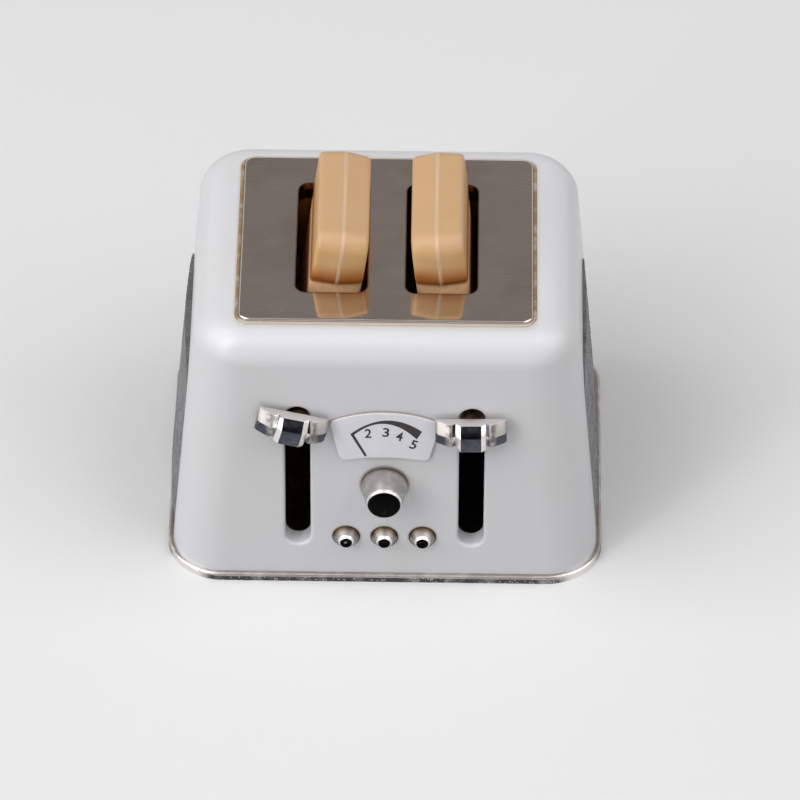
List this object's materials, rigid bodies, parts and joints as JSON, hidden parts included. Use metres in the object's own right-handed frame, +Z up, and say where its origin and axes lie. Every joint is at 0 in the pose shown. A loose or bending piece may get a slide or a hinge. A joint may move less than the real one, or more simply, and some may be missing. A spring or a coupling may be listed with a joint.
{
  "type": "toy toaster",
  "caption": "Dollhouse-size toy pop-up toaster: enamelled body on a tray, mirror top, levers that lower lift-out toast, dial, knob and buttons.",
  "frame": {"origin": "centre of the base tray's underside", "axes": "+X to the viewer's right along the front, +Y from the front to the back, +Z up"},
  "size_m": [0.0284, 0.024, 0.0237],
  "materials": {
    "white_enamel": "glossy",
    "mirror_steel": "mirror",
    "chrome": "mirror",
    "cast_grey": "satin, cast texture",
    "dial_white": "glossy",
    "dark_steel": "satin",
    "spring_steel": "satin",
    "toast_tan": "waxy satin"
  },
  "bodies": {
    "casing": {"body_shell": "white_enamel", "base_tray": "chrome", "base_screws": "spring_steel", "top_plate": "mirror_steel", "dial_plate": "dial_white", "button_guide_bar": "dark_steel", "button_leaf_spring": "spring_steel", "bar_screws": "spring_steel", "left_side_panel": "cast_grey", "right_side_panel": "cast_grey", "left_bread_guide": "dark_steel", "right_bread_guide": "dark_steel"},
    "timer_knob_body": {"timer_knob": "chrome", "knob_retainer": "spring_steel"},
    "left_lever": {"left_lever_handle": "chrome", "left_lever_slider": "dark_steel"},
    "right_lever": {"right_lever_handle": "chrome", "right_lever_slider": "dark_steel"},
    "left_cradle": {"left_bread_cradle": "dark_steel"},
    "right_cradle": {"right_bread_cradle": "dark_steel"},
    "left_slice": {"left_toast": "toast_tan"},
    "right_slice": {"right_toast": "toast_tan"},
    "left_button_body": {"left_button": "chrome"},
    "middle_button_body": {"middle_button": "chrome"},
    "right_button_body": {"right_button": "chrome"}
  },
  "joints": [
    {"name": "left_lever_slide", "type": "slide", "parent": "casing", "child": "left_lever", "axis": [0, -0.0523, -0.9986], "range_m": [0, 0.00998]},
    {"name": "left_cradle_slide", "type": "slide", "parent": "casing", "child": "left_cradle", "axis": [-0.1305, 0, -0.9914], "range_m": [0, 0.01005]},
    {"name": "left_toast_lift", "type": "slide", "parent": "left_cradle", "child": "left_slice", "axis": [0.1305, 0, 0.9914], "range_m": [0, 0.008]},
    {"name": "right_lever_slide", "type": "slide", "parent": "casing", "child": "right_lever", "axis": [0, -0.0523, -0.9986], "range_m": [0, 0.00968]},
    {"name": "right_cradle_slide", "type": "slide", "parent": "casing", "child": "right_cradle", "axis": [0.0958, 0, -0.9954], "range_m": [0, 0.00971]},
    {"name": "right_toast_lift", "type": "slide", "parent": "right_cradle", "child": "right_slice", "axis": [-0.0958, 0, 0.9954], "range_m": [0, 0.008]},
    {"name": "timer_knob_turn", "type": "hinge", "parent": "casing", "child": "timer_knob_body", "pos_m": [0, -0.0105, 0.00812], "axis": [0, -0.9986, 0.0523], "continuous": true},
    {"name": "left_button_press", "type": "slide", "parent": "casing", "child": "left_button_body", "axis": [0, 0.9986, -0.0523], "range_m": [0, 0.00035], "stiffness_N_per_m": 200, "deforming": ["button_leaf_spring"]},
    {"name": "middle_button_press", "type": "slide", "parent": "casing", "child": "middle_button_body", "axis": [0, 0.9986, -0.0523], "range_m": [0, 0.00035], "stiffness_N_per_m": 200, "deforming": ["button_leaf_spring"]},
    {"name": "right_button_press", "type": "slide", "parent": "casing", "child": "right_button_body", "axis": [0, 0.9986, -0.0523], "range_m": [0, 0.00035], "stiffness_N_per_m": 200, "deforming": ["button_leaf_spring"]}
  ],
  "couplings": [
    {"joint": "left_cradle_slide", "follows": "left_lever_slide", "ratio": 1.0072},
    {"joint": "right_cradle_slide", "follows": "right_lever_slide", "ratio": 1.0032}
  ]
}
